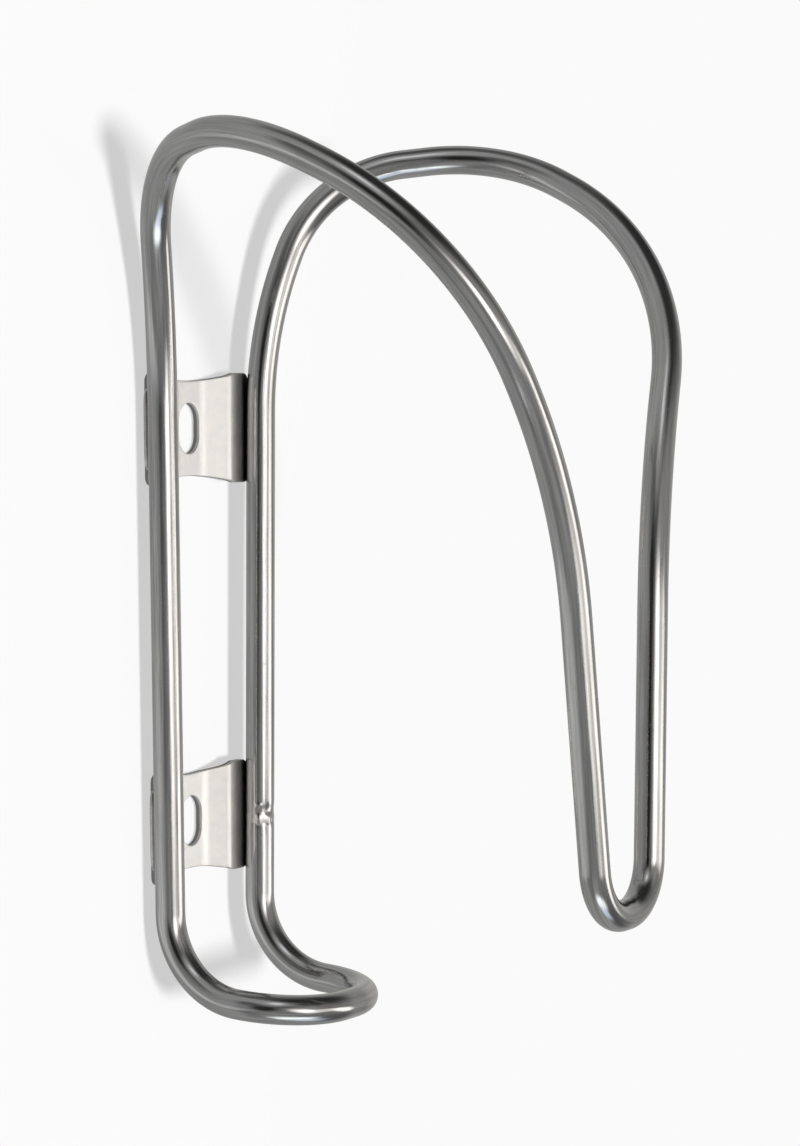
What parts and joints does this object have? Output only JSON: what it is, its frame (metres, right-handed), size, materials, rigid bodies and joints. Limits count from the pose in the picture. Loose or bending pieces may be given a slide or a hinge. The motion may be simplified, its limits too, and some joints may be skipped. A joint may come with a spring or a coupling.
{
  "type": "water bottle cage",
  "caption": "Bottle cage bent from one loop of thin stainless tube, with a front loop, a bottom shelf and two slotted mounting tabs",
  "frame": {"origin": "middle of the two-slot bolt pattern, on the plane of the tabs' backs", "axes": "+Z along the bottle towards its mouth, +Y back towards the bicycle's tube, -Y to the front of the cage, X across it"},
  "size_m": [0.084, 0.0822, 0.1406],
  "materials": {
    "tube": "polished stainless tube with fine lengthwise drawing lines and handling scuffs",
    "tab": "satin stainless sheet with fine rolling grain and a brighter sheared edge",
    "weld": "bright rippled weld metal, brushed clean"
  },
  "bodies": {
    "root": {"loop_tube": "tube", "joint_weld": "weld", "upper_tab": "tab", "lower_tab": "tab", "upper_left_weld": "weld", "upper_right_weld": "weld", "lower_left_weld": "weld", "lower_right_weld": "weld"}
  },
  "joints": []
}
